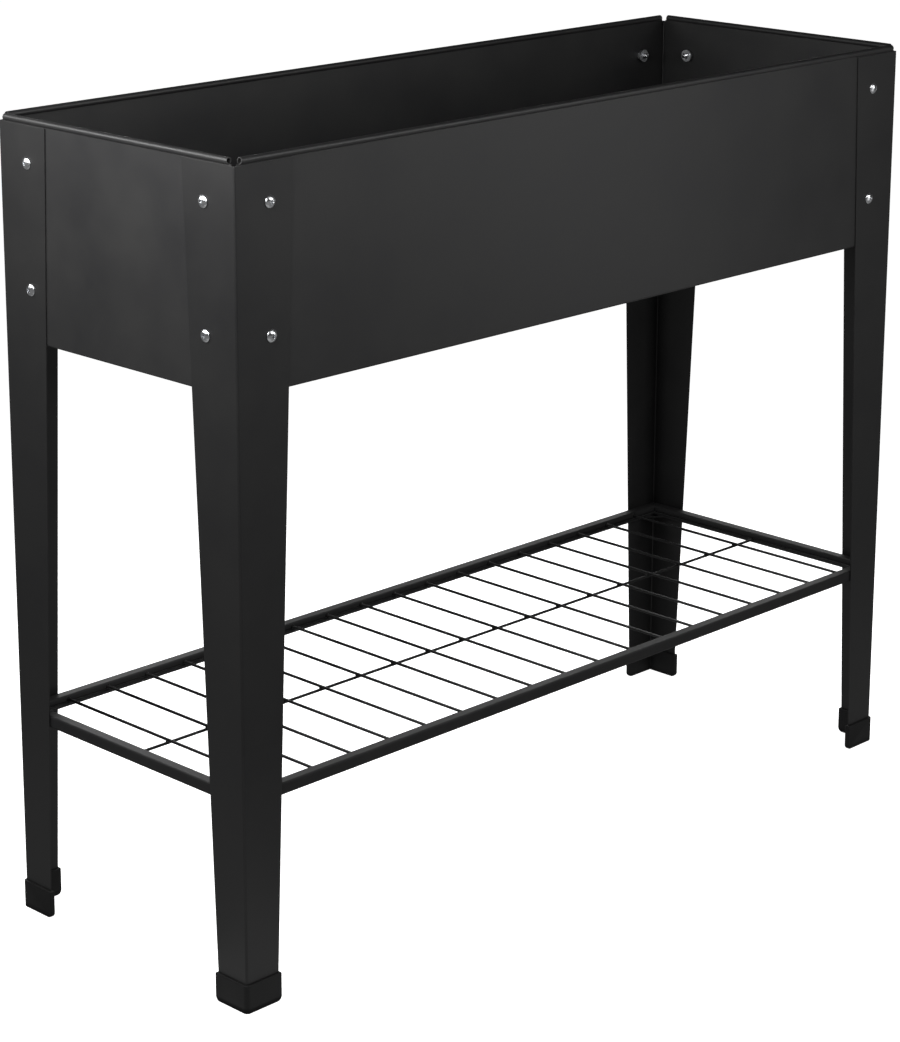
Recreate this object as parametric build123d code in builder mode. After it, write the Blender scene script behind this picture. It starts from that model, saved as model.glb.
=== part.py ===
"""Raised planter on legs: a sheet steel box bolted inside four tapered angle legs, over a wire shelf.

Millimetres. +Z is up, X runs along the long side, and the front long side faces -Y. The origin is at
the centre of the footprint, on the ground. Every corner is the mirror image of the front left one, so
corner pieces are modelled there once and mirrored to the other three.
"""
from build123d import *
import os

# Overall size
LENGTH = 950.0  # over the outer faces of the legs
WIDTH = 330.0
HEIGHT = 800.0  # ground to the top of the rolled rim
HALF_LENGTH = LENGTH / 2
HALF_WIDTH = WIDTH / 2

# Legs
LEG_SHEET = 1.2
LEG_BEND_RADIUS = 2.4  # outside radius of the fold
LEG_WIDTH_TOP = 69.0
LEG_WIDTH_GROUND = 38.5
LEG_TOP = 792.8
LEG_TAPER = (LEG_WIDTH_TOP - LEG_WIDTH_GROUND) / LEG_TOP

# Box walls
PANEL_SHEET = 1.0
PANEL_OUTER = LEG_SHEET  # distance inward from the outer faces of the legs
PANEL_INNER = LEG_SHEET + PANEL_SHEET
PANEL_END_GAP = 4.6  # outer face of the crossing legs to the end of a panel
BOX_BOTTOM = 586.0
FLANGE_REACH = 14.0  # outer face of the legs to the tip of a panel's bottom flange
FLANGE_END_GAP = 16.0
BEND_RADIUS = 1.8  # outside radius of the flange's fold
BEND_ZONE = 2.5  # height of the folded strip, notched away at both ends
BEAD_RADIUS = 3.2  # hollow rim rolled along the top edge
BEAD_BULGE = 1.3  # the rim stands this far outside the legs
BEAD_OFFSET = BEAD_RADIUS - BEAD_BULGE
BEAD_HEIGHT = HEIGHT - BEAD_RADIUS
BEAD_END_GAP = 7.0  # the rim is cut back further than the sheet, so that the rims miss each other
SHEET_TOP = 793.4  # where the sheet runs into the rim
CURL_SLIT = 0.5
CURL_SLIT_ANGLE = -40.0  # the rolled edge closes here, inside and below

# Floor of the box
FLOOR_SHEET = 1.0
FLOOR_EDGE_GAP = 3.4
FLOOR_CORNER_RADIUS = 4.0
DRAIN_HOLE = 8.0
DRAIN_COLUMNS = 8
DRAIN_ROWS = 3
DRAIN_PITCH_X = 110.0
DRAIN_PITCH_Y = 90.0

# Foot caps
CAP_WALL = 2.2
CAP_FLOOR = 3.0
CAP_HEIGHT = 28.5
CAP_CLEARANCE = 0.1
CAP_TOE_RADIUS = 5.5  # where the sole turns up at the two ends
CAP_END_RADIUS = 2.2
CAP_TOP_RADIUS = 1.2

# Bolts and nuts through the legs and the panels, M6
BOLT_INSET = 41.0
BOLT_HEIGHTS = (637.0, 757.0)
BOLT_HOLE = 6.6
BOLT_DIAMETER = 5.9
BOLT_LENGTH = 12.0
BOLT_TIP = 0.6
HEAD_DIAMETER = 12.0
HEAD_RIM = 0.7
HEAD_HEIGHT = 3.3
RECESS_SPAN = 5.6
RECESS_SLOT = 1.3
RECESS_DEPTH = 1.9
NUT_ACROSS_FLATS = 10.0
NUT_HEIGHT = 5.0
NUT_BORE = 5.96
NUT_CHAMFER = 0.5
NUT_FLANGE_DIAMETER = 13.6
NUT_FLANGE_HEIGHT = 1.2

# Shelf of square tube and welded wire
RAIL_SIZE = 12.0
RAIL_WALL = 1.0
RAIL_CORNER_RADIUS = 2.0
RAIL_OFFSET = 1.6  # outer face of the legs to the outer face of a rail
RAIL_CENTRE = RAIL_OFFSET + RAIL_SIZE / 2
RAIL_INNER = RAIL_OFFSET + RAIL_SIZE
SHELF_TOP = 213.5
SHELF_BOTTOM = SHELF_TOP - RAIL_SIZE
WIRE = 3.0
CROSS_WIRE_HEIGHT = 209.3
BORDER_WIRE_HEIGHT = CROSS_WIRE_HEIGHT - WIRE
CROSS_WIRES = 18
CROSS_WIRE_PITCH = 50.0

# Tabs in the corners of the legs that carry the shelf, each with a screw up through it
TAB_SHEET = 1.5
TAB_REACH = 27.0
TAB_TIP = 6.0
TAB_CORNER = 1.6
TAB_BOTTOM = SHELF_BOTTOM - TAB_SHEET
SCREW_HOLE = 4.2
SCREW_DIAMETER = 4.0
SCREW_LENGTH = 9.0
SCREW_POINT = 1.2
SCREW_HEAD_DIAMETER = 8.0
SCREW_HEAD_HEIGHT = 2.6
SCREW_RECESS_SPAN = 4.2
SCREW_RECESS_SLOT = 1.0
SCREW_RECESS_DEPTH = 1.3

# Which way each corner is mirrored from the front left one
CORNERS = {
    "front_left": (-1, -1),
    "front_right": (1, -1),
    "back_left": (-1, 1),
    "back_right": (1, 1),
}

# Outer faces at the front and left, seen from outside: first axis level, second axis up
FRONT_FACE = Plane(origin=(0, -HALF_WIDTH, 0), x_dir=(1, 0, 0), z_dir=(0, -1, 0))
LEFT_FACE = Plane(origin=(-HALF_LENGTH, 0, 0), x_dir=(0, -1, 0), z_dir=(-1, 0, 0))
# Cross-sections of the front and left sides: first axis into the box, second axis up
FRONT_SECTION = Plane(origin=(0, -HALF_WIDTH, 0), x_dir=(0, 1, 0), z_dir=(1, 0, 0))
LEFT_SECTION = Plane(origin=(-HALF_LENGTH, 0, 0), x_dir=(1, 0, 0), z_dir=(0, -1, 0))
# Plan of the front left corner: both axes run inward from the outer faces
CORNER_PLAN = Plane(origin=(-HALF_LENGTH, -HALF_WIDTH, 0))


def keep(piece, label):
    """Labels a finished piece and writes it."""
    piece.part.label = label
    export_step(piece.part, f"parts/{label}.step")


def mirrored(piece, side_x, side_y):
    """A piece made at the front left, mirrored across the middle of the planter to its own corner."""
    with BuildPart() as copy:
        add(piece.part)
        if side_x > 0:
            mirror(about=Plane.YZ, mode=Mode.REPLACE)
        if side_y > 0:
            mirror(about=Plane.XZ, mode=Mode.REPLACE)
    return copy


def leg_width(height):
    """Width of a leg's flanges, which taper evenly from the top to the ground."""
    return LEG_WIDTH_GROUND + LEG_TAPER * height


def face_point(face, across, height):
    """A plane on an outer face, centred on one point of it."""
    return Plane(face.from_local_coords((across, height, 0)), face.x_dir, face.z_dir)


def corner_bolt_planes():
    """Planes on the two outer faces of the front left corner, centred on its four bolts."""
    across_front = -HALF_LENGTH + BOLT_INSET
    across_left = HALF_WIDTH - BOLT_INSET
    front = [face_point(FRONT_FACE, across_front, height) for height in BOLT_HEIGHTS]
    left = [face_point(LEFT_FACE, across_left, height) for height in BOLT_HEIGHTS]
    return front + left


def corner_l(outer, inner, reach):
    """Outline of an L that wraps the corner between two distances and reaches along both sides."""
    return [
        (outer, outer),
        (reach, outer),
        (reach, inner),
        (inner, inner),
        (inner, reach),
        (outer, reach),
    ]


def make_leg():
    """Angle leg of folded sheet: two tapered flanges that meet in a rounded fold."""
    with BuildPart() as leg:
        for face, corner, along in ((FRONT_FACE, -HALF_LENGTH, 1), (LEFT_FACE, HALF_WIDTH, -1)):
            with BuildSketch(face):
                with BuildLine():
                    Polyline(
                        (corner, CAP_FLOOR),
                        (corner + along * leg_width(CAP_FLOOR), CAP_FLOOR),
                        (corner + along * LEG_WIDTH_TOP, LEG_TOP),
                        (corner, LEG_TOP),
                        close=True,
                    )
                make_face()
            extrude(amount=-LEG_SHEET)
        outside = CORNER_PLAN.from_local_coords((0, 0, LEG_TOP / 2))
        inside = CORNER_PLAN.from_local_coords((LEG_SHEET, LEG_SHEET, LEG_TOP / 2))
        fillet(leg.edges().filter_by(Axis.Z).sort_by_distance(outside)[0], LEG_BEND_RADIUS)
        fillet(leg.edges().filter_by(Axis.Z).sort_by_distance(inside)[0], LEG_BEND_RADIUS - LEG_SHEET)
        with Locations(corner_bolt_planes()):
            Hole(BOLT_HOLE / 2, depth=2 * LEG_SHEET)
    return leg


def make_foot_cap():
    """Moulded cap pushed over the foot of a leg: an L-shaped cup with a flat sole."""
    flange = leg_width(CAP_HEIGHT)
    with BuildPart() as cap:
        with BuildSketch(CORNER_PLAN):
            with BuildLine():
                Polyline(corner_l(-CAP_WALL, LEG_SHEET + CAP_WALL, flange + CAP_WALL), close=True)
            make_face()
        extrude(amount=CAP_HEIGHT)
        toes = cap.faces().sort_by(Axis.Z)[0].edges().group_by(SortBy.LENGTH)[0]
        fillet(toes, CAP_TOE_RADIUS)
        heel = CORNER_PLAN.from_local_coords((-CAP_WALL, -CAP_WALL, CAP_HEIGHT / 2))
        uprights = cap.edges().filter_by(Axis.Z).sort_by_distance(heel)
        fillet(uprights[0], LEG_BEND_RADIUS + CAP_WALL)
        uprights = cap.edges().filter_by(Axis.Z).sort_by_distance(heel)
        fillet(uprights[-4:], CAP_END_RADIUS)
        fillet(cap.faces().sort_by(Axis.Z)[-1].edges(), CAP_TOP_RADIUS)
        with BuildSketch(CORNER_PLAN.offset(CAP_FLOOR)) as pocket:
            outer = -CAP_CLEARANCE
            inner = LEG_SHEET + CAP_CLEARANCE
            with BuildLine():
                Polyline(corner_l(outer, inner, flange + CAP_CLEARANCE), close=True)
            make_face()
            fillet(pocket.vertices().sort_by_distance(Vector(outer, outer))[0], LEG_BEND_RADIUS)
            throat = pocket.vertices().sort_by_distance(Vector(inner, inner))[0]
            fillet(throat, LEG_BEND_RADIUS - LEG_SHEET)
        extrude(amount=CAP_HEIGHT, mode=Mode.SUBTRACT)
    return cap


def make_panel(section, face, half_span):
    """Wall of the box: a flat sheet with a hollow rolled rim on top and a bottom flange folded inward."""
    with BuildPart() as panel:
        with BuildSketch(section):
            with Locations((PANEL_OUTER, BOX_BOTTOM + BEND_ZONE)):
                sheet_height = SHEET_TOP - BOX_BOTTOM - BEND_ZONE
                Rectangle(PANEL_SHEET, sheet_height, align=(Align.MIN, Align.MIN))
        extrude(amount=half_span - PANEL_END_GAP, both=True)
        with BuildSketch(section):
            with Locations((PANEL_OUTER, SHEET_TOP)):
                neck_height = BEAD_HEIGHT - SHEET_TOP
                Rectangle(PANEL_SHEET, neck_height, align=(Align.MIN, Align.MIN))
            with Locations((BEAD_OFFSET, BEAD_HEIGHT)):
                Circle(BEAD_RADIUS)
                Circle(BEAD_RADIUS - PANEL_SHEET, mode=Mode.SUBTRACT)
                Rectangle(
                    2 * BEAD_RADIUS,
                    CURL_SLIT,
                    rotation=CURL_SLIT_ANGLE,
                    align=(Align.MIN, Align.CENTER),
                    mode=Mode.SUBTRACT,
                )
        extrude(amount=half_span - BEAD_END_GAP, both=True)
        with BuildSketch(section) as bend:
            with BuildLine():
                Polyline(
                    (PANEL_OUTER, BOX_BOTTOM),
                    (FLANGE_REACH, BOX_BOTTOM),
                    (FLANGE_REACH, BOX_BOTTOM + PANEL_SHEET),
                    (PANEL_INNER, BOX_BOTTOM + PANEL_SHEET),
                    (PANEL_INNER, BOX_BOTTOM + BEND_ZONE),
                    (PANEL_OUTER, BOX_BOTTOM + BEND_ZONE),
                    close=True,
                )
            make_face()
            outside = Vector(PANEL_OUTER, BOX_BOTTOM)
            fillet(bend.vertices().sort_by_distance(outside)[0], BEND_RADIUS)
            inside = Vector(PANEL_INNER, BOX_BOTTOM + PANEL_SHEET)
            fillet(bend.vertices().sort_by_distance(inside)[0], BEND_RADIUS - PANEL_SHEET)
        extrude(amount=half_span - FLANGE_END_GAP, both=True)
        low, high = BOLT_HEIGHTS
        with Locations(face_point(face, 0, (low + high) / 2)):
            with GridLocations(2 * (half_span - BOLT_INSET), high - low, 2, 2):
                Hole(BOLT_HOLE / 2, depth=2 * PANEL_INNER)
    return panel


def make_floor():
    """Floor of the box: a flat sheet with drain holes, which lies on the panels' bottom flanges."""
    with BuildPart() as floor:
        with BuildSketch(Plane.XY.offset(BOX_BOTTOM + PANEL_SHEET)):
            RectangleRounded(
                LENGTH - 2 * FLOOR_EDGE_GAP, WIDTH - 2 * FLOOR_EDGE_GAP, FLOOR_CORNER_RADIUS
            )
            with GridLocations(DRAIN_PITCH_X, DRAIN_PITCH_Y, DRAIN_COLUMNS, DRAIN_ROWS):
                Circle(DRAIN_HOLE / 2, mode=Mode.SUBTRACT)
        extrude(amount=FLOOR_SHEET)
    return floor


def cross_recess(height, span, slot):
    """Outline of a cross recess, at a height on the fastener's axis."""
    with BuildSketch(Plane.XY.offset(height)) as cross:
        Rectangle(span, slot)
        Rectangle(slot, span)
    return cross.sketch


def make_bolt():
    """Bolt with a domed, cross-recessed head. The head stands on the XY plane, the shank below it."""
    shank = BOLT_DIAMETER / 2
    recess = cross_recess(HEAD_HEIGHT, RECESS_SPAN, RECESS_SLOT)
    with BuildPart() as bolt:
        with BuildSketch(Plane.XZ):
            with BuildLine():
                TangentArc((0, HEAD_HEIGHT), (HEAD_DIAMETER / 2, HEAD_RIM), tangent=(1, 0))
                Polyline(
                    (HEAD_DIAMETER / 2, HEAD_RIM),
                    (HEAD_DIAMETER / 2, 0),
                    (shank, 0),
                    (shank, BOLT_TIP - BOLT_LENGTH),
                    (shank - BOLT_TIP, -BOLT_LENGTH),
                    (0, -BOLT_LENGTH),
                    (0, HEAD_HEIGHT),
                )
            make_face()
        revolve(axis=Axis.Z)
        extrude(recess, amount=-RECESS_DEPTH, mode=Mode.SUBTRACT)
    return bolt


def make_nut():
    """Hexagon flange nut for that bolt, against the inner face of the panel, with its outer corners turned off."""
    face = -PANEL_INNER
    end = face - NUT_HEIGHT
    flat = NUT_ACROSS_FLATS / 2
    with BuildPart() as nut:
        with BuildSketch(Plane.XY.offset(face)):
            RegularPolygon(flat, 6, major_radius=False)
            Circle(NUT_BORE / 2, mode=Mode.SUBTRACT)
        extrude(amount=-NUT_HEIGHT)
        with BuildSketch(Plane.XY.offset(face)):
            Circle(NUT_FLANGE_DIAMETER / 2)
            Circle(NUT_BORE / 2, mode=Mode.SUBTRACT)
        extrude(amount=-NUT_FLANGE_HEIGHT)
        with BuildSketch(Plane.XZ):
            with BuildLine():
                Polyline(
                    (flat, end),
                    (flat + 2 * NUT_CHAMFER, end + NUT_CHAMFER),
                    (flat + 2 * NUT_CHAMFER, end),
                    close=True,
                )
            make_face()
        revolve(axis=Axis.Z, mode=Mode.SUBTRACT)
    return nut


def make_screw():
    """Shelf screw, upside down: its head hangs below the XY plane and its shank stands above it."""
    shank = SCREW_DIAMETER / 2
    head = SCREW_HEAD_DIAMETER / 2
    recess = cross_recess(-SCREW_HEAD_HEIGHT, SCREW_RECESS_SPAN, SCREW_RECESS_SLOT)
    with BuildPart() as screw:
        with BuildSketch(Plane.XZ):
            with BuildLine():
                TangentArc((0, -SCREW_HEAD_HEIGHT), (head, 0), tangent=(1, 0))
                Polyline(
                    (head, 0),
                    (shank, 0),
                    (shank, SCREW_LENGTH - SCREW_POINT),
                    (shank - SCREW_POINT, SCREW_LENGTH),
                    (0, SCREW_LENGTH),
                    (0, -SCREW_HEAD_HEIGHT),
                )
            make_face()
        revolve(axis=Axis.Z)
        extrude(recess, amount=SCREW_RECESS_DEPTH, mode=Mode.SUBTRACT)
    return screw


def corner_set(fastener, planes):
    """A group of separate solids: one fastener at each plane."""
    with BuildPart() as group:
        with Locations(planes):
            add(fastener.part)
    return group


def make_rail(section, half_span):
    """Side of the shelf frame: square tube, mitred at both ends, drilled for the corner screws."""
    half_rail = half_span - RAIL_OFFSET
    centre = (RAIL_CENTRE, SHELF_BOTTOM + RAIL_SIZE / 2)
    with BuildPart() as rail:
        with BuildSketch(section):
            with Locations(centre):
                RectangleRounded(RAIL_SIZE, RAIL_SIZE, RAIL_CORNER_RADIUS)
                bore = RAIL_SIZE - 2 * RAIL_WALL
                RectangleRounded(bore, bore, RAIL_CORNER_RADIUS - RAIL_WALL, mode=Mode.SUBTRACT)
        extrude(amount=half_rail, both=True)
        for end in (-1, 1):
            drilled = (RAIL_CENTRE, SHELF_BOTTOM, end * (half_span - RAIL_CENTRE))
            with BuildSketch(Plane(section.from_local_coords(drilled))):
                Circle(SCREW_HOLE / 2)
            extrude(amount=2 * RAIL_WALL, mode=Mode.SUBTRACT)
            corner = section.from_local_coords((RAIL_OFFSET, 0, end * half_rail))
            into_rail = -end * section.z_dir - section.x_dir
            split(bisect_by=Plane(corner, z_dir=into_rail), keep=Keep.TOP)
    return rail


def make_wire(section, inward, height, half_length):
    """Straight round wire that runs along one side of the planter at a distance inside it."""
    with BuildPart() as wire:
        with BuildSketch(section):
            with Locations((inward, height)):
                Circle(WIRE / 2)
        extrude(amount=half_length, both=True)
    return wire


def make_tab():
    """Triangular shelf tab that is spot-welded into the corner of a leg, with a screw hole."""
    with BuildPart() as tab:
        with BuildSketch(CORNER_PLAN.offset(TAB_BOTTOM)):
            with BuildLine():
                Polyline(
                    (LEG_SHEET + TAB_CORNER, LEG_SHEET),
                    (TAB_REACH, LEG_SHEET),
                    (TAB_REACH, TAB_TIP),
                    (TAB_TIP, TAB_REACH),
                    (LEG_SHEET, TAB_REACH),
                    (LEG_SHEET, LEG_SHEET + TAB_CORNER),
                    close=True,
                )
            make_face()
            with Locations((RAIL_CENTRE, RAIL_CENTRE)):
                Circle(SCREW_HOLE / 2, mode=Mode.SUBTRACT)
        extrude(amount=TAB_SHEET)
    return tab


def main():
    os.makedirs("parts", exist_ok=True)

    corner_pieces = {
        "leg": make_leg(),
        "foot_cap": make_foot_cap(),
        "shelf_tab": make_tab(),
        "bolts": corner_set(make_bolt(), corner_bolt_planes()),
        "nuts": corner_set(make_nut(), corner_bolt_planes()),
    }
    for corner, sides in CORNERS.items():
        for name, piece in corner_pieces.items():
            keep(mirrored(piece, *sides), f"{corner}_{name}")

    long_panel = make_panel(FRONT_SECTION, FRONT_FACE, HALF_LENGTH)
    short_panel = make_panel(LEFT_SECTION, LEFT_FACE, HALF_WIDTH)
    keep(long_panel, "front_panel")
    keep(mirrored(long_panel, -1, 1), "back_panel")
    keep(short_panel, "left_panel")
    keep(mirrored(short_panel, 1, -1), "right_panel")
    keep(make_floor(), "floor_panel")

    long_rail = make_rail(FRONT_SECTION, HALF_LENGTH)
    short_rail = make_rail(LEFT_SECTION, HALF_WIDTH)
    keep(long_rail, "front_shelf_rail")
    keep(mirrored(long_rail, -1, 1), "back_shelf_rail")
    keep(short_rail, "left_shelf_rail")
    keep(mirrored(short_rail, 1, -1), "right_shelf_rail")
    screw_x = HALF_LENGTH - RAIL_CENTRE
    screw_y = HALF_WIDTH - RAIL_CENTRE
    screw_places = [(x, y, TAB_BOTTOM) for x in (-screw_x, screw_x) for y in (-screw_y, screw_y)]
    keep(corner_set(make_screw(), screw_places), "shelf_screws")

    beside_rail = RAIL_INNER + WIRE / 2
    long_reach = HALF_LENGTH - RAIL_INNER
    cross_reach = HALF_WIDTH - RAIL_INNER
    long_border = make_wire(FRONT_SECTION, beside_rail, BORDER_WIRE_HEIGHT, long_reach)
    short_border = make_wire(LEFT_SECTION, beside_rail, BORDER_WIRE_HEIGHT, cross_reach - WIRE)
    keep(long_border, "front_border_wire")
    keep(mirrored(long_border, -1, 1), "back_border_wire")
    keep(short_border, "left_border_wire")
    keep(mirrored(short_border, 1, -1), "right_border_wire")
    keep(make_wire(FRONT_SECTION, HALF_WIDTH, BORDER_WIRE_HEIGHT, long_reach - WIRE), "centre_wire")
    first = HALF_LENGTH - CROSS_WIRE_PITCH * (CROSS_WIRES - 1) / 2
    for number in range(CROSS_WIRES):
        inward = first + CROSS_WIRE_PITCH * number
        wire = make_wire(LEFT_SECTION, inward, CROSS_WIRE_HEIGHT, cross_reach)
        keep(wire, f"cross_wire_{number + 1:02d}")


main()
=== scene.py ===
"""Raised planter on legs: the finished look of a black powder-coated sheet steel planter.

The steel work is folded here as it is in the shop: each sheet is drawn as a thin middle surface, bent,
given its thickness, and broken along its cut edges. Metres, in the frame's own axes: length along X,
width along Y, the ground at Z = 0. "In" means inward from the legs' outer faces.
"""
import math

import bpy
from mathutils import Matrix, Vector


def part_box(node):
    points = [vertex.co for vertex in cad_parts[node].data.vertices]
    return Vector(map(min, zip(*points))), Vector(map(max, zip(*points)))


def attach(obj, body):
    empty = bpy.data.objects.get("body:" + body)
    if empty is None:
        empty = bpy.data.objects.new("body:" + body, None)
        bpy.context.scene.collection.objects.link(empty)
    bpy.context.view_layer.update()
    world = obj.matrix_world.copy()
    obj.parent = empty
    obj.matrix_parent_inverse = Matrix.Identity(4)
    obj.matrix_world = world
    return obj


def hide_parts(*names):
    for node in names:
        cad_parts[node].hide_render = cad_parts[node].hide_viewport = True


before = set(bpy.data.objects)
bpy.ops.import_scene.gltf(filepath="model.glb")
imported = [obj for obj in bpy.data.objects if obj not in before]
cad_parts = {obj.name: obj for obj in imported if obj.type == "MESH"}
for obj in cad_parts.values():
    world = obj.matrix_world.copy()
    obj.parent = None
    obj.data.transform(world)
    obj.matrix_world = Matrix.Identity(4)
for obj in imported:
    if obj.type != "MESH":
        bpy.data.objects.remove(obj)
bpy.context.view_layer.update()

MM = 0.001
HAIR = 0.01 * MM
ROOT = "root"
RIGHT_ANGLE = math.pi / 2
CORNERS = {
    "front_left": (-1, -1),
    "front_right": (1, -1),
    "back_left": (-1, 1),
    "back_right": (1, 1),
}

# Sizes read from the frame
leg_low, leg_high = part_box("front_left_leg")
sheet_low, sheet_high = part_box("front_panel")
rail_low, rail_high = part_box("front_shelf_rail")
cross_low, cross_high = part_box("cross_wire_01")
cap_low, cap_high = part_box("front_left_foot_cap")
HALF_LENGTH = -leg_low.x
HALF_WIDTH = -leg_low.y
LEG_TOP = leg_high.z
LEG_FOOT = leg_low.z
LEG_TOP_WIDTH = leg_high.x - leg_low.x
RIM_TOP = sheet_high.z
BOX_BOTTOM = sheet_low.z
RAIL_SIZE = rail_high.z - rail_low.z
WIRE_RADIUS = (cross_high.z - cross_low.z) / 2
CAP_HEIGHT = cap_high.z
CAP_WALL = leg_low.x - cap_low.x

# Hand work: how near counts as touching, and how edges are rounded and smoothed
MERGE = 0.005 * MM
TOUCHING = 0.02 * MM
SQUARE_ON = 0.9
SHARP_ANGLE = 50
COATED_EDGE = 0.25 * MM
COAT_SMOOTH = math.radians(40)
FACE_WEIGHT = 60

# Legs: folded angles, tapered to the ground
LEG_SHEET = 1.2 * MM
LEG_FOOT_WIDTH = 38.6 * MM
LEG_FOLD = 1.8 * MM

# Foot caps
CAP_TOE = 5.5 * MM
CAP_EDGE = 1.1 * MM

# Walls of the box: sheets with a rolled rim and a bottom flange
WALL_SHEET = 1.0 * MM
WALL_IN = 1.7 * MM
WALL_END = 4.6 * MM
FLANGE_END = 16.0 * MM
FLANGE_REACH = 14.0 * MM
FLANGE_FOLD = 1.3 * MM
FLANGE_NOTCH = 2.5 * MM
RIM_RADIUS = 2.7 * MM
RIM_IN = 1.9 * MM
RIM_HEIGHT = RIM_TOP - RIM_RADIUS - WALL_SHEET / 2 - HAIR
RIM_END = 7.6 * MM
RIM_END_SLANT = 0.18
RIM_TURN = math.radians(328)
FOLD_STEPS = 6
RIM_STEPS = 30

# Fasteners
BOLT_IN = 41.0 * MM
BOLT_HEIGHTS = (637.0 * MM, 757.0 * MM)
BOLT_HEAD = 6.0 * MM
BOLT_DOME = 2.6 * MM - HAIR
BOLT_RIM = 0.7 * MM
BOLT_SHANK = 2.95 * MM
BOLT_LENGTH = 12.0 * MM
HEAD_EDGE = 0.3 * MM
RECESS_WING = (6.4 * MM, 1.6 * MM, 3.4 * MM)
RECESS_SINK = 0.45 * MM
RECESS_TAPER = 0.42
SHANK_IN_HEAD = 0.1 * MM
SHANK_CHAMFER = 0.5 * MM
THREAD_PITCH = 1.0 * MM
THREAD_DEPTH = 0.45 * MM
THREAD_SUNK = 0.2 * MM
THREAD_BASE = 0.92 * THREAD_PITCH
THREAD_CREST = 0.14
THREAD_TURNS = 8
THREAD_STEPS = 20
THREAD_START = -BOLT_LENGTH + 0.8 * MM
NUT_FLATS = 10.0 * MM
NUT_HEIGHT = 5.0 * MM
NUT_FLANGE = 6.8 * MM
NUT_FLANGE_HEIGHT = 1.2 * MM
NUT_FLANGE_SLOPE = 1.6 * MM
NUT_FLANGE_RISE = 0.45 * MM
NUT_FLANGE_EDGE = 0.45 * MM
NUT_CHAMFER = 0.55 * MM
NUT_CORNER_ROOM = 0.05 * MM
NUT_EDGE = 0.18 * MM
NUT_IN = 2.2 * MM
NUT_TURN = 0.7
DRIVE_TURNS = (12, 57, 81, 33, 70, 5, 44, 88, 26, 63, 17, 49, 74, 38, 2, 60)

# Shelf
RAIL_ROUND = 2.0 * MM
RAIL_EDGE = 0.15 * MM
WELD_LENGTH = 1.3 * MM
WELD_FLARE = 1.75
WAIST_REACH = 0.45
WAIST_FLARE = 1 + (WELD_FLARE - 1) * 0.35
NUGGET = (2.5 * MM, 2.5 * MM, 1.15 * MM)

# Camera
CAMERA_PLACE = (-2.1086, -2.0280, 1.2633)
CAMERA_TURN = (math.radians(90 - 14.621), math.radians(-0.162), math.radians(44.512 - 90))
CAMERA_LENS = 101.6
CAMERA_RISE = -0.1497

# Studio
FLOOR_SIZE = 60
PAPER_GLOW = 0.99
ROOM_SHADES = (
    (0.0, (0.20, 0.20, 0.20)),
    (0.49, (0.20, 0.20, 0.20)),
    (0.51, (0.045, 0.045, 0.045)),
    (1.0, (0.03, 0.03, 0.03)),
)
# name, place, what it is turned to, its two sides, watts
SOFTBOXES = (
    ("left_softbox", (-0.80, 0.0, 0.98), (-0.475, 0.0, 0.72), (1.2, 0.2), 9.6),
    ("front_softbox", (0.80, -1.40, 1.10), (0.10, -0.165, 0.70), (0.6, 0.5), 5.2),
    ("front_strip", (0.02, -0.95, 1.15), (0.02, -0.165, 0.70), (0.7, 0.35), 2.3),
    ("front_low_softbox", (0.45, -0.64, 0.60), (0.10, -0.165, 0.66), (0.35, 0.45), 0.35),
    ("front_fill", (0.0, -2.20, 2.40), (0.0, -0.165, 0.65), (1.4, 0.9), 2.0),
    ("right_softbox", (1.00, 0.40, 0.72), (0.475, 0.10, 0.60), (1.0, 0.25), 5.0),
    ("back_softbox", (0.15, 1.10, 0.74), (0.05, 0.165, 0.60), (0.9, 0.3), 6.0),
    ("floor_bounce", (0.0, 0.0, 0.004), (0.0, 0.0, 1.0), (1.7, 1.0), 0.6),
    ("near_floor_bounce", (-0.75, -0.50, 0.004), (-0.75, -0.50, 1.0), (0.9, 0.9), 0.6),
)


# ---------------------------------------------------------------- hand tools

def put_down():
    """Leave edit mode and select nothing."""
    if bpy.context.object and bpy.context.object.mode != "OBJECT":
        bpy.ops.object.mode_set(mode="OBJECT")
    bpy.ops.object.select_all(action="DESELECT")


def pick_up(piece):
    put_down()
    bpy.context.view_layer.objects.active = piece
    piece.select_set(True)
    return piece


def pick(kind, test):
    """In edit mode, select the corners, edges or faces of the piece in hand that pass the test."""
    mesh = bpy.context.object.data
    bpy.ops.object.mode_set(mode="EDIT")
    bpy.ops.mesh.select_mode(type=kind)
    bpy.ops.mesh.select_all(action="DESELECT")
    bpy.ops.object.mode_set(mode="OBJECT")
    if kind == "VERT":
        for corner in mesh.vertices:
            corner.select = test(corner.co)
    elif kind == "EDGE":
        for edge in mesh.edges:
            start, end = (mesh.vertices[index].co for index in edge.vertices)
            edge.select = test((start + end) / 2, end - start)
    else:
        for face in mesh.polygons:
            face.select = test(face.center, face.normal)
    bpy.ops.object.mode_set(mode="EDIT")


def near(a, b, slack=TOUCHING):
    return abs(a - b) < slack


def set_in_place():
    bpy.ops.object.mode_set(mode="OBJECT")
    bpy.ops.object.transform_apply(location=True, rotation=True, scale=True)


def apply_modifier(kind, **settings):
    bpy.ops.object.mode_set(mode="OBJECT")
    bpy.ops.object.modifier_add(type=kind)
    modifier = bpy.context.object.modifiers[-1]
    for name, value in settings.items():
        setattr(modifier, name, value)
    bpy.ops.object.modifier_apply(modifier=modifier.name)


def merge_and_face_out():
    bpy.ops.object.mode_set(mode="EDIT")
    bpy.ops.mesh.select_mode(type="VERT")
    bpy.ops.mesh.select_all(action="SELECT")
    bpy.ops.mesh.remove_doubles(threshold=MERGE)
    bpy.ops.mesh.normals_make_consistent(inside=False)
    bpy.ops.object.mode_set(mode="OBJECT")


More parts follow.
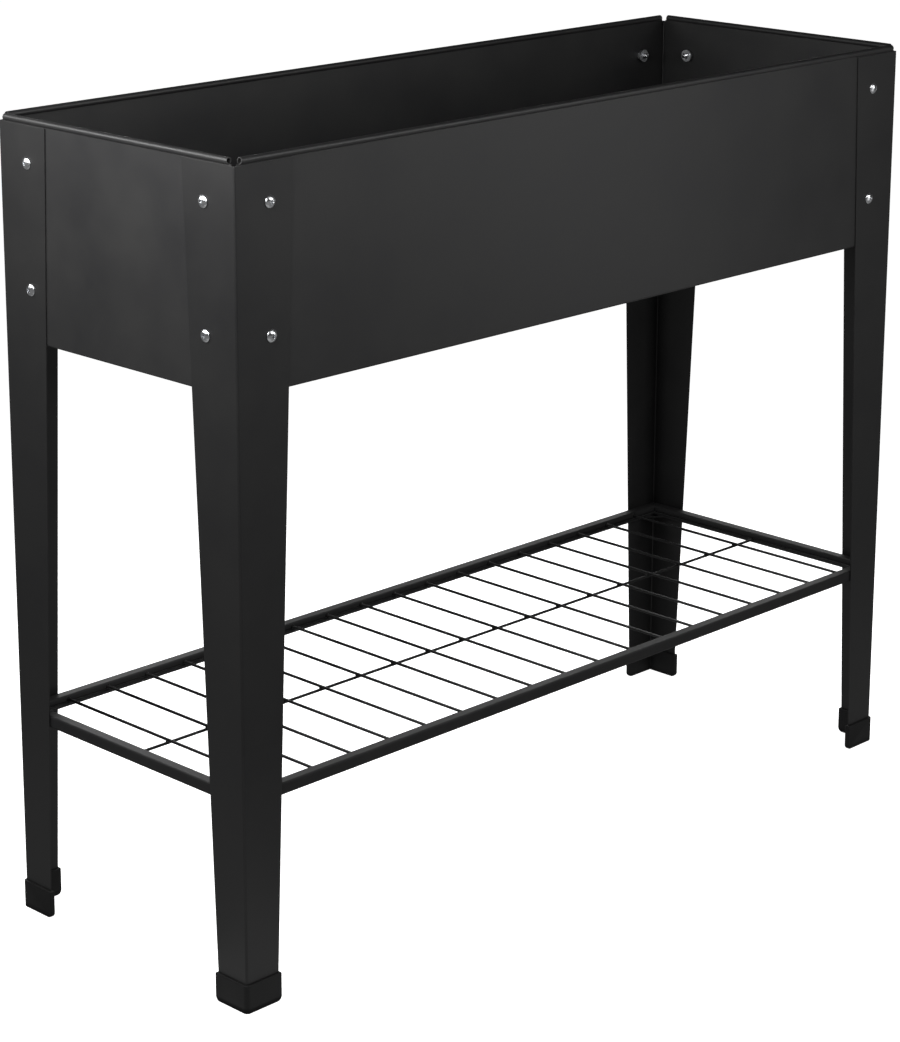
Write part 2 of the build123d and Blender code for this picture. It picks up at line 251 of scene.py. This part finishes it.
def thicken(sheet):
    """Give a folded middle surface its sheet thickness."""
    merge_and_face_out()
    apply_modifier("SOLIDIFY", thickness=sheet, offset=0.0, use_even_offset=True,
                   use_quality_normals=True)


def soften(width, segments=2, angle=SHARP_ANGLE):
    """Round the sharp edges by the thickness of the coat, and keep the flats flat in the light."""
    apply_modifier("BEVEL", width=width, segments=segments, limit_method="ANGLE",
                   angle_limit=math.radians(angle), use_clamp_overlap=True)
    bpy.ops.object.shade_smooth_by_angle(angle=COAT_SMOOTH)
    apply_modifier("WEIGHTED_NORMAL", keep_sharp=True, weight=FACE_WEIGHT)


def sheet_plane(across, low, high, depth):
    """A plane standing along X: from -across to across, between two heights, at a depth in Y."""
    put_down()
    bpy.ops.mesh.primitive_plane_add(size=1, location=(0, depth, (low + high) / 2),
                                     rotation=(RIGHT_ANGLE, 0, 0))
    bpy.context.object.scale = (2 * across, high - low, 1)
    set_in_place()


def extrude_edges(move):
    bpy.ops.mesh.extrude_edges_move(TRANSFORM_OT_translate={"value": move})


def extrude_faces(move):
    bpy.ops.mesh.extrude_region_move(TRANSFORM_OT_translate={"value": move})


def bevel_picked(width, segments):
    bpy.ops.mesh.bevel(offset=width, segments=segments, affect="EDGES")


def round_off(width, segments, angle=SHARP_ANGLE):
    """Round every edge that turns by more than the angle."""
    apply_modifier("BEVEL", width=width, segments=segments, limit_method="ANGLE",
                   angle_limit=math.radians(angle))


def smooth_to(degrees):
    bpy.ops.object.shade_smooth_by_angle(angle=math.radians(degrees))


def cut(place, normal, clear_outer=False, clear_inner=False, fill=False):
    bpy.ops.mesh.bisect(plane_co=place, plane_no=normal, clear_outer=clear_outer,
                        clear_inner=clear_inner, use_fill=fill)


def carve(cutter, operation="DIFFERENCE"):
    """Boolean with a second piece, which is used up."""
    piece = bpy.context.object
    apply_modifier("BOOLEAN", object=cutter, operation=operation, solver="EXACT")
    bpy.data.objects.remove(cutter, do_unlink=True)
    pick_up(piece)


def copy_of(piece, name):
    pick_up(piece)
    bpy.ops.object.duplicate()
    twin = bpy.context.object
    twin.name = name
    twin.data.name = name
    return twin


def turned(piece, name, angle=0.0, flip=(1, 1, 1), move=(0, 0, 0), tilt=(0, 0, 0)):
    """A copy with its own mesh: flipped, tilted, turned about Z and moved, then set in place."""
    twin = copy_of(piece, name)
    twin.scale = flip
    twin.rotation_euler = (tilt[0], tilt[1], tilt[2] + angle)
    twin.location = move
    set_in_place()
    if flip[0] * flip[1] * flip[2] < 0:
        merge_and_face_out()
    return twin


def join(pieces, name):
    put_down()
    for piece in pieces:
        piece.select_set(True)
    bpy.context.view_layer.objects.active = pieces[0]
    bpy.ops.object.join()
    whole = bpy.context.object
    whole.name = name
    whole.data.name = name
    return whole


def hand_over(piece, finish, slot, *nodes):
    """The piece rides on the planter, takes its finish, and stands for its CAD nodes."""
    put_down()
    piece.data.materials.clear()
    piece.data.materials.append(finish)
    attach(piece, ROOT)
    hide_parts(*nodes)


def throw_away(piece):
    put_down()
    bpy.data.objects.remove(piece, do_unlink=True)


# ---------------------------------------------------------------- finishes

def new_finish(name, colour, roughness, metallic=0.0, specular=0.5):
    finish = bpy.data.materials.new(name)
    finish.use_nodes = True
    shader = finish.node_tree.nodes["Principled BSDF"]
    shader.inputs["Base Color"].default_value = (*colour, 1)
    shader.inputs["Roughness"].default_value = roughness
    shader.inputs["Metallic"].default_value = metallic
    shader.inputs["Specular IOR Level"].default_value = specular
    return finish, finish.node_tree, shader


def object_noise(tree, scale, detail, roughness):
    """Noise that is fixed to the object: its scale is in waves to a metre."""
    place = tree.nodes.new("ShaderNodeTexCoord")
    noise = tree.nodes.new("ShaderNodeTexNoise")
    noise.inputs["Scale"].default_value = scale
    noise.inputs["Detail"].default_value = detail
    noise.inputs["Roughness"].default_value = roughness
    tree.links.new(place.outputs["Object"], noise.inputs["Vector"])
    return noise.outputs["Fac"]


def ramp(tree, value, stops):
    node = tree.nodes.new("ShaderNodeValToRGB")
    points = node.color_ramp.elements
    while len(points) < len(stops):
        points.new(0.5)
    for point, (place, colour) in zip(points, stops):
        point.position = place
        point.color = (*colour, 1)
    tree.links.new(value, node.inputs["Fac"])
    return node.outputs["Color"]


def spread(tree, value, low, high, start=0.3, end=0.7):
    """Map a noise between start and end to values between low and high."""
    node = tree.nodes.new("ShaderNodeMapRange")
    node.inputs["From Min"].default_value = start
    node.inputs["From Max"].default_value = end
    node.inputs["To Min"].default_value = low
    node.inputs["To Max"].default_value = high
    tree.links.new(value, node.inputs["Value"])
    return node.outputs["Result"]


def bump(tree, shader, height, strength, distance, before=None):
    node = tree.nodes.new("ShaderNodeBump")
    node.inputs["Strength"].default_value = strength
    node.inputs["Distance"].default_value = distance
    tree.links.new(height, node.inputs["Height"])
    if before is not None:
        tree.links.new(before, node.inputs["Normal"])
    tree.links.new(node.outputs["Normal"], shader.inputs["Normal"])
    return node.outputs["Normal"]


def powder_coat(name, shade, roughness, grain=900.0, specular=0.4):
    """Satin black powder coat: an orange-peel skin, with faint clouds in its shade and sheen."""
    finish, tree, shader = new_finish(name, (shade,) * 3, roughness, specular=specular)
    clouds = object_noise(tree, scale=14.0, detail=4.0, roughness=0.6)
    speck = object_noise(tree, scale=2600.0, detail=1.0, roughness=0.5)
    peel = object_noise(tree, scale=grain, detail=2.0, roughness=0.45)
    waves = object_noise(tree, scale=9.0, detail=1.0, roughness=0.4)
    dark = tuple(shade * part for part in (0.86, 0.86, 0.90))
    light = tuple(shade * part for part in (1.16, 1.15, 1.14))
    tree.links.new(ramp(tree, clouds, ((0.32, dark), (0.68, light))), shader.inputs["Base Color"])
    sheen = tree.nodes.new("ShaderNodeMath")
    sheen.operation = "ADD"
    tree.links.new(spread(tree, clouds, roughness - 0.03, roughness + 0.03), sheen.inputs[0])
    tree.links.new(spread(tree, speck, -0.02, 0.02), sheen.inputs[1])
    tree.links.new(sheen.outputs["Value"], shader.inputs["Roughness"])
    skin = bump(tree, shader, peel, strength=0.05, distance=0.2 * MM)
    bump(tree, shader, waves, strength=0.03, distance=1.2 * MM, before=skin)
    return finish


def zinc_plate(name, brightest, dullest):
    """Bright zinc: a cloudy passivated sheen between two roughnesses, over a finely pitted skin."""
    finish, tree, shader = new_finish(name, (0.72, 0.73, 0.74), brightest, metallic=1.0)
    clouds = object_noise(tree, scale=420.0, detail=4.0, roughness=0.6)
    pits = object_noise(tree, scale=1500.0, detail=3.0, roughness=0.6)
    dull = (0.50, 0.51, 0.53)
    bright = (0.86, 0.87, 0.88)
    tree.links.new(ramp(tree, clouds, ((0.30, dull), (0.70, bright))), shader.inputs["Base Color"])
    tree.links.new(spread(tree, clouds, dullest, brightest), shader.inputs["Roughness"])
    bump(tree, shader, pits, strength=0.12, distance=0.1 * MM)
    return finish


def moulded_rubber(name):
    """Moulded black foot caps: matt, with a fine spark-eroded grain."""
    finish, tree, shader = new_finish(name, (0.008, 0.008, 0.008), 0.62, specular=0.25)
    grain = object_noise(tree, scale=1700.0, detail=3.0, roughness=0.6)
    clouds = object_noise(tree, scale=60.0, detail=3.0, roughness=0.55)
    dark = (0.0065, 0.0065, 0.0067)
    light = (0.0105, 0.0105, 0.0105)
    tree.links.new(ramp(tree, clouds, ((0.3, dark), (0.7, light))), shader.inputs["Base Color"])
    tree.links.new(spread(tree, clouds, 0.56, 0.68), shader.inputs["Roughness"])
    bump(tree, shader, grain, strength=0.14, distance=0.15 * MM)
    return finish


wall_coat = powder_coat("wall_powder_coat", 0.0145, 0.46)
leg_coat = powder_coat("leg_powder_coat", 0.0108, 0.47)
rail_coat = powder_coat("rail_powder_coat", 0.020, 0.55, specular=0.16)
wire_coat = powder_coat("wire_powder_coat", 0.006, 0.45, grain=1200.0, specular=0.15)
zinc = zinc_plate("zinc_plate", 0.15, 0.30)
nut_zinc = zinc_plate("nut_zinc_plate", 0.34, 0.50)
black_screw_coat = powder_coat("screw_black_finish", 0.02, 0.35, grain=1500.0)
cap_rubber = moulded_rubber("foot_cap_rubber")

FINISHES = {
    "black_coated_panels": wall_coat,
    "black_coated_legs": leg_coat,
    "black_coated_frame": rail_coat,
    "black_coated_wire": wire_coat,
    "zinc_fasteners": zinc,
    "black_screws": black_screw_coat,
    "foot_moulding": cap_rubber,
}

# which finish a node takes, by a word in its name
SLOT_WORDS = {
    "panel": "black_coated_panels",
    "leg": "black_coated_legs",
    "rail": "black_coated_frame",
    "tab": "black_coated_frame",
    "wire": "black_coated_wire",
    "bolts": "zinc_fasteners",
    "nuts": "zinc_fasteners",
    "screws": "black_screws",
    "cap": "foot_moulding",
}


# ---------------------------------------------------------------- walls of the box

def roll_wall(half_span, half_depth):
    """One wall, standing along X on the -Y side of a box that is 2 * half_span by 2 * half_depth."""
    depth = -half_depth + WALL_IN
    low = BOX_BOTTOM + FLANGE_NOTCH
    rim_dip = math.sqrt(RIM_RADIUS ** 2 - (RIM_IN - WALL_IN) ** 2)
    sheet_top = RIM_HEIGHT - rim_dip
    rim_span = half_span - RIM_END
    flange_span = half_span - FLANGE_END
    sheet_plane(half_span - WALL_END, low, sheet_top, depth)
    bpy.ops.object.mode_set(mode="EDIT")
    for span in (rim_span, flange_span):
        for side in (-1, 1):
            bpy.ops.mesh.select_all(action="SELECT")
            cut((side * span, 0, 0), (side, 0, 0))
    # the rim: the top edge is rolled outward, over the top and back in under itself
    pick("EDGE", lambda middle, run: near(middle.z, sheet_top) and abs(middle.x) < rim_span)
    rim_centre = (0, -half_depth + RIM_IN, RIM_HEIGHT)
    bpy.ops.mesh.spin(steps=RIM_STEPS, angle=RIM_TURN, center=rim_centre, axis=(1, 0, 0))
    # the flange: the bottom edge is folded inward under the floor
    fold_height = BOX_BOTTOM + WALL_SHEET / 2 + FLANGE_FOLD
    pick("EDGE", lambda middle, run: near(middle.z, low) and abs(middle.x) < flange_span)
    extrude_edges((0, 0, fold_height - low))
    fold_centre = (0, depth + FLANGE_FOLD, fold_height)
    bpy.ops.mesh.spin(steps=FOLD_STEPS, angle=RIGHT_ANGLE, center=fold_centre, axis=(-1, 0, 0))
    extrude_edges((0, FLANGE_REACH - WALL_IN - FLANGE_FOLD, 0))
    # the rim's ends are cut on a slant, because the blank's corner was
    for side in (-1, 1):
        pick("FACE", lambda middle, normal: middle.z > sheet_top)
        cut((side * rim_span, 0, sheet_top), (side, 0, RIM_END_SLANT), clear_outer=True)
    thicken(WALL_SHEET)
    soften(COATED_EDGE)
    return bpy.context.object


def make_walls():
    long_wall = roll_wall(HALF_LENGTH, HALF_WIDTH)
    short_wall = roll_wall(HALF_WIDTH, HALF_LENGTH)
    walls = {
        "front": (long_wall, 0),
        "back": (long_wall, math.pi),
        "left": (short_wall, -RIGHT_ANGLE),
        "right": (short_wall, RIGHT_ANGLE),
    }
    for side, (pattern, angle) in walls.items():
        wall = turned(pattern, f"{side}_wall", angle)
        hand_over(wall, wall_coat, "black_coated_panels", f"{side}_panel")
    throw_away(long_wall)
    throw_away(short_wall)


# ---------------------------------------------------------------- legs

def fold_leg():
    """The front left leg: a sheet folded along the corner, both flanges cut to a taper."""
    middle = LEG_SHEET / 2
    corner_x = -HALF_LENGTH + middle
    corner_y = -HALF_WIDTH + middle
    put_down()
    width = LEG_TOP_WIDTH - middle
    height = LEG_TOP - LEG_FOOT
    flange_middle = (corner_x + width / 2, corner_y, LEG_FOOT + height / 2)
    bpy.ops.mesh.primitive_plane_add(size=1, location=flange_middle, rotation=(RIGHT_ANGLE, 0, 0))
    bpy.context.object.scale = (width, height, 1)
    set_in_place()
    pick("EDGE", lambda middle, run: near(middle.x, corner_x))
    extrude_edges((0, width, 0))
    taper = LEG_TOP_WIDTH - LEG_FOOT_WIDTH
    pick("VERT", lambda place: near(place.z, LEG_FOOT) and near(place.x, corner_x + width))
    bpy.ops.transform.translate(value=(-taper, 0, 0))
    pick("VERT", lambda place: near(place.z, LEG_FOOT) and near(place.y, corner_y + width))
    bpy.ops.transform.translate(value=(0, -taper, 0))
    pick("EDGE", lambda middle, run: near(middle.x, corner_x) and near(middle.y, corner_y))
    bevel_picked(LEG_FOLD, FOLD_STEPS)
    thicken(LEG_SHEET)
    return bpy.context.object


def mould_cap(leg):
    """The front left foot cap: an L-shaped cup, its sole turned up at both toes."""
    flange = LEG_FOOT_WIDTH + (LEG_TOP_WIDTH - LEG_FOOT_WIDTH) * CAP_HEIGHT / LEG_TOP
    arm = flange + 2 * CAP_WALL
    thick = LEG_SHEET + 2 * CAP_WALL
    x0 = -HALF_LENGTH - CAP_WALL
    y0 = -HALF_WIDTH - CAP_WALL
    put_down()
    bpy.ops.mesh.primitive_cube_add(size=1, location=(x0 + thick / 2, y0 + thick / 2, CAP_HEIGHT / 2))
    cap = bpy.context.object
    cap.scale = (thick, thick, CAP_HEIGHT)
    set_in_place()
    pick("FACE", lambda middle, normal: normal.x > SQUARE_ON)
    extrude_faces((arm - thick, 0, 0))
    pick("FACE", lambda middle, normal: normal.y > SQUARE_ON and middle.x < x0 + thick)
    extrude_faces((0, arm - thick, 0))
    bpy.ops.object.mode_set(mode="OBJECT")
    pick("EDGE", lambda middle, run: near(middle.z, 0)
         and (near(middle.x, x0 + arm) or near(middle.y, y0 + arm)))
    bevel_picked(CAP_TOE, 7)
    pick("EDGE", lambda middle, run: near(middle.x, x0) and near(middle.y, y0)
         and run.length > CAP_HEIGHT / 2)
    bevel_picked(LEG_FOLD + LEG_SHEET / 2 + CAP_WALL, 9)
    round_off(CAP_EDGE, 4)
    pocket = copy_of(leg, "cap_pocket")
    pick_up(cap)
    carve(pocket)
    smooth_to(35)
    apply_modifier("WEIGHTED_NORMAL", keep_sharp=True, weight=FACE_WEIGHT)
    return cap


def make_legs():
    leg = fold_leg()
    cap = mould_cap(leg)
    for corner, (side_x, side_y) in CORNERS.items():
        flip = (-side_x, -side_y, 1)
        twin = turned(leg, f"{corner}_angle_leg", flip=flip)
        soften(COATED_EDGE)
        hand_over(twin, leg_coat, "black_coated_legs", f"{corner}_leg")
        shoe = turned(cap, f"{corner}_cap", flip=flip)
        hand_over(shoe, cap_rubber, "foot_moulding", f"{corner}_foot_cap")
    throw_away(leg)
    throw_away(cap)


# ---------------------------------------------------------------- fasteners

def turn_bolt():
    """A truss-head bolt standing on Z = 0 with its shank below: dome, cross recess, rolled thread."""
    sphere = (BOLT_HEAD ** 2 + BOLT_DOME ** 2) / (2 * BOLT_DOME)
    put_down()
    bpy.ops.mesh.primitive_uv_sphere_add(segments=48, ring_count=64, radius=sphere,
                                         location=(0, 0, BOLT_RIM + BOLT_DOME - sphere))
    head = bpy.context.object
    set_in_place()
    bpy.ops.object.mode_set(mode="EDIT")
    bpy.ops.mesh.select_all(action="SELECT")
    cut((0, 0, BOLT_RIM), (0, 0, 1), clear_inner=True, fill=True)
    pick("FACE", lambda middle, normal: normal.z < -SQUARE_ON)
    extrude_faces((0, 0, -BOLT_RIM))
    merge_and_face_out()
    round_off(HEAD_EDGE, 3, 40)
    for quarter in (0, RIGHT_ANGLE):
        put_down()
        bpy.ops.mesh.primitive_cube_add(size=1, location=(0, 0, BOLT_RIM + BOLT_DOME - RECESS_SINK),
                                        rotation=(0, 0, quarter))
        wing = bpy.context.object
        wing.scale = RECESS_WING
        set_in_place()
        pick("FACE", lambda middle, normal: normal.z < -SQUARE_ON)
        bpy.ops.transform.resize(value=(RECESS_TAPER, RECESS_TAPER, 1), center_override=(0, 0, 0))
        bpy.ops.object.mode_set(mode="OBJECT")
        pick_up(head)
        carve(wing)
    merge_and_face_out()
    smooth_to(30)
    # the shank, and a thread rolled along it as one long helix
    put_down()
    bpy.ops.mesh.primitive_cylinder_add(vertices=24, radius=BOLT_SHANK - THREAD_DEPTH, depth=BOLT_LENGTH,
                                        location=(0, 0, -BOLT_LENGTH / 2 + SHANK_IN_HEAD))
    shank = bpy.context.object
    set_in_place()
    round_off(SHANK_CHAMFER, 2)
    smooth_to(30)
    put_down()
    bpy.ops.mesh.primitive_plane_add(size=1, rotation=(RIGHT_ANGLE, 0, 0))
    ridge = bpy.context.object
    ridge.scale = (THREAD_DEPTH + THREAD_SUNK, THREAD_BASE, 1)
    ridge.location = (BOLT_SHANK - (THREAD_DEPTH + THREAD_SUNK) / 2, 0, THREAD_START)
    set_in_place()
    pick("VERT", lambda place: place.x > BOLT_SHANK - THREAD_DEPTH / 2)
    bpy.ops.transform.resize(value=(1, 1, THREAD_CREST), center_override=(0, 0, THREAD_START))
    steps = THREAD_STEPS * THREAD_TURNS
    apply_modifier("SCREW", axis="Z", angle=THREAD_TURNS * 2 * math.pi,
                   screw_offset=THREAD_TURNS * THREAD_PITCH, steps=steps, render_steps=steps,
                   use_merge_vertices=False)
    bpy.ops.object.mode_set(mode="EDIT")
    bpy.ops.mesh.select_all(action="SELECT")
    bpy.ops.mesh.fill_holes(sides=0)
    merge_and_face_out()
    smooth_to(30)
    return join([head, shank, ridge], "bolt_pattern")


def press_nut():
    """A hexagon flange nut on Z = 0, its corners chamfered and its edges broken."""
    across_corners = NUT_FLATS / math.sqrt(3)
    put_down()
    bpy.ops.mesh.primitive_cylinder_add(vertices=6, radius=across_corners, depth=NUT_HEIGHT,
                                        location=(0, 0, NUT_HEIGHT / 2))
    nut = bpy.context.object
    set_in_place()
    put_down()
    bpy.ops.mesh.primitive_cylinder_add(vertices=64, radius=across_corners + NUT_CORNER_ROOM,
                                        depth=NUT_HEIGHT + 2 * HAIR, location=(0, 0, NUT_HEIGHT / 2))
    turning = bpy.context.object
    set_in_place()
    pick("EDGE", lambda middle, run: near(run.z, 0))
    bevel_picked(NUT_CHAMFER, 3)
    bpy.ops.object.mode_set(mode="OBJECT")
    pick_up(nut)
    carve(turning, "INTERSECT")
    # the flange is a dished washer under the hexagon, part of the nut
    put_down()
    bpy.ops.mesh.primitive_cylinder_add(vertices=48, radius=NUT_FLANGE, depth=NUT_FLANGE_HEIGHT,
                                        location=(0, 0, NUT_FLANGE_HEIGHT / 2))
    washer = bpy.context.object
    set_in_place()
    pick("FACE", lambda middle, normal: normal.z > SQUARE_ON)
    bpy.ops.mesh.inset(thickness=NUT_FLANGE_SLOPE)
    bpy.ops.transform.translate(value=(0, 0, NUT_FLANGE_RISE))
    pick("EDGE", lambda middle, run: near(middle.z, NUT_FLANGE_HEIGHT) and near(run.z, 0))
    bevel_picked(NUT_FLANGE_EDGE, 3)
    bpy.ops.object.mode_set(mode="OBJECT")
    pick_up(nut)
    carve(washer, "UNION")
    put_down()
    bpy.ops.mesh.primitive_cylinder_add(vertices=32, radius=BOLT_SHANK, depth=NUT_HEIGHT * 1.5,
                                        location=(0, 0, NUT_HEIGHT / 2))
    bore = bpy.context.object
    set_in_place()
    pick_up(nut)
    carve(bore)
    round_off(NUT_EDGE, 2)
    smooth_to(35)
    return nut


def bolt_places(side_x, side_y):
    """The four bolts of a corner: (place on the legs' outer face, tilt that turns +Z outward)."""
    places = []
    for height in BOLT_HEIGHTS:
        along_x = (side_x * (HALF_LENGTH - BOLT_IN), side_y * HALF_WIDTH, height)
        places.append((along_x, (0, side_y), (-side_y * RIGHT_ANGLE, 0, 0)))
        along_y = (side_x * HALF_LENGTH, side_y * (HALF_WIDTH - BOLT_IN), height)
        places.append((along_y, (side_x, 0), (0, side_x * RIGHT_ANGLE, 0)))
    return places


def make_fasteners():
    bolt = turn_bolt()
    nut = press_nut()
    drive_turns = iter(DRIVE_TURNS)
    reach = NUT_IN + NUT_HEIGHT
    for corner, (side_x, side_y) in CORNERS.items():
        bolts = []
        nuts = []
        for place, (out_x, out_y), tilt in bolt_places(side_x, side_y):
            spin = math.radians(next(drive_turns))
            spun = turned(bolt, "spun_bolt", angle=spin)
            bolts.append(turned(spun, "placed_bolt", tilt=tilt, move=place))
            throw_away(spun)
            inner = (place[0] - out_x * reach, place[1] - out_y * reach, place[2])
            spun = turned(nut, "spun_nut", angle=NUT_TURN * spin)
            nuts.append(turned(spun, "placed_nut", tilt=tilt, move=inner))
            throw_away(spun)
        hand_over(join(bolts, f"{corner}_truss_bolts"), zinc, "zinc_fasteners", f"{corner}_bolts")
        hand_over(join(nuts, f"{corner}_hex_nuts"), nut_zinc, "zinc_fasteners", f"{corner}_nuts")
    throw_away(bolt)
    throw_away(nut)


# ---------------------------------------------------------------- shelf

def make_rail(name, along_x):
    """One mitred rail of square tube, its long edges rounded."""
    low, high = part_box(name)
    middle = (low + high) / 2
    put_down()
    bpy.ops.mesh.primitive_cube_add(size=1, location=middle)
    bpy.context.object.scale = high - low
    set_in_place()
    # the mitre: the inner edge stops a tube's width short at each end
    inward = -1 if (middle.y if along_x else middle.x) > 0 else 1
    axis, side = (0, 1) if along_x else (1, 0)
    end = (high[axis] - low[axis]) / 2
    for way in (-1, 1):
        pick("VERT", lambda place: way * place[axis] > end - MM
             and inward * (place[side] - middle[side]) > 0)
        shift = [0, 0, 0]
        shift[axis] = -way * RAIL_SIZE
        bpy.ops.transform.translate(value=shift)
    pick("EDGE", lambda middle, run: abs(run[axis]) > 10 * RAIL_SIZE)
    bevel_picked(RAIL_ROUND, 6)
    soften(RAIL_EDGE, 1, 60)
    bpy.context.object.name = f"{name}_tube"
    bpy.context.object.data.name = f"{name}_tube"
    return bpy.context.object


def make_wire(node, along_x, welds):
    """A round wire, flared into its weld at both ends, with a nugget where it crosses another."""
    low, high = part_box(node)
    middle = (low + high) / 2
    axis = 0 if along_x else 1
    length = high[axis] - low[axis]
    turn = (0, RIGHT_ANGLE, 0) if along_x else (RIGHT_ANGLE, 0, 0)
    put_down()
    bpy.ops.mesh.primitive_cylinder_add(vertices=14, radius=WIRE_RADIUS, depth=length,
                                        location=middle, rotation=turn)
    wire = bpy.context.object
    set_in_place()
    bpy.ops.object.mode_set(mode="EDIT")
    normal = (1, 0, 0) if along_x else (0, 1, 0)
    for way in (-1, 1):
        for step in (1.0, WAIST_REACH):
            place = list(middle)
            place[axis] += way * (length / 2 - step * WELD_LENGTH)
            bpy.ops.mesh.select_all(action="SELECT")
            cut(place, normal)
        for reach, size in ((0.0, WELD_FLARE), (WAIST_REACH * WELD_LENGTH, WAIST_FLARE)):
            spot = middle[axis] + way * (length / 2 - reach)
            pick("VERT", lambda place: near(place[axis], spot, 0.1 * MM))
            bpy.ops.transform.resize(value=(1 if along_x else size, size if along_x else 1, size),
                                     center_override=middle)
    bpy.ops.mesh.select_mode(type="VERT")
    for spot in welds:
        bpy.ops.mesh.primitive_uv_sphere_add(segments=10, ring_count=6, radius=1.0, location=spot,
                                             scale=NUGGET)
    bpy.ops.object.mode_set(mode="OBJECT")
    smooth_to(50)
    wire.name = f"{node}_rod"
    wire.data.name = f"{node}_rod"
    return wire


def make_shelf():
    for side in ("front", "back", "left", "right"):
        along_x = side in ("front", "back")
        rail = make_rail(f"{side}_shelf_rail", along_x)
        hand_over(rail, rail_coat, "black_coated_frame", f"{side}_shelf_rail")
        wire = make_wire(f"{side}_border_wire", along_x, [])
        hand_over(wire, wire_coat, "black_coated_wire", f"{side}_border_wire")
    hand_over(make_wire("centre_wire", True, []), wire_coat, "black_coated_wire", "centre_wire")
    weld_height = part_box("centre_wire")[1].z
    border_low, border_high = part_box("front_border_wire")
    border_y = (border_low.y + border_high.y) / 2
    first = None
    for node in sorted(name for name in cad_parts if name.startswith("cross_wire")):
        low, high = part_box(node)
        x = (low.x + high.x) / 2
        if first is None:
            welds = [(x, y, weld_height) for y in (border_y, 0, -border_y)]
            first = make_wire(node, False, welds)
            first_x = x
            rod = first
        else:
            rod = turned(first, f"{node}_rod", move=(x - first_x, 0, 0))
        hand_over(rod, wire_coat, "black_coated_wire", node)


# ---------------------------------------------------------------- studio

def set_camera():
    put_down()
    bpy.ops.object.camera_add(location=CAMERA_PLACE, rotation=CAMERA_TURN)
    camera = bpy.context.object
    camera.name = "camera"
    camera.data.sensor_width = 36
    camera.data.lens = CAMERA_LENS
    camera.data.shift_y = CAMERA_RISE
    bpy.context.scene.camera = camera


def lay_floor():
    """Pale paper, lit from behind so that it stays pale under the soft lights."""
    put_down()
    bpy.ops.mesh.primitive_plane_add(size=FLOOR_SIZE)
    floor = bpy.context.object
    floor.name = "studio_floor"
    paper, _, shader = new_finish("pale_floor", (0.85, 0.85, 0.85), 0.9, specular=0.0)
    shader.inputs["Emission Color"].default_value = (1, 1, 1, 1)
    shader.inputs["Emission Strength"].default_value = PAPER_GLOW
    floor.data.materials.append(paper)
    floor.visible_glossy = False
    floor.visible_diffuse = False


def hang_light(name, place, target, size, power):
    """A soft box: a rectangle of light, its second side kept upright."""
    put_down()
    bpy.ops.object.light_add(type="AREA", location=place)
    light = bpy.context.object
    light.name = name
    light.data.shape = "RECTANGLE"
    light.data.size, light.data.size_y = size
    light.data.energy = power
    light.rotation_euler = (Vector(target) - Vector(place)).to_track_quat("-Z", "Y").to_euler()
    light.visible_camera = False


def light_room():
    """A dim grey room: nearly dark above the horizon, and lighter below it, as a pale floor would be."""
    world = bpy.data.worlds.new("studio")
    bpy.context.scene.world = world
    world.use_nodes = True
    tree = world.node_tree
    background = tree.nodes["Background"]
    place = tree.nodes.new("ShaderNodeTexCoord")
    parts = tree.nodes.new("ShaderNodeSeparateXYZ")
    tree.links.new(place.outputs["Generated"], parts.inputs["Vector"])
    shade = ramp(tree, spread(tree, parts.outputs["Z"], 0.0, 1.0, -1.0, 1.0), ROOM_SHADES)
    tree.links.new(shade, background.inputs["Color"])
    background.inputs["Strength"].default_value = 1.0


make_walls()
make_legs()
make_fasteners()
make_shelf()
for name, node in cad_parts.items():
    slot = next(slot for word, slot in SLOT_WORDS.items() if word in name)
    node.data.materials.clear()
    node.data.materials.append(FINISHES[slot])

set_camera()
lay_floor()
light_room()
for name, place, target, size, power in SOFTBOXES:
    hang_light(name, place, target, size, power)
bpy.context.scene.view_settings.view_transform = "Standard"
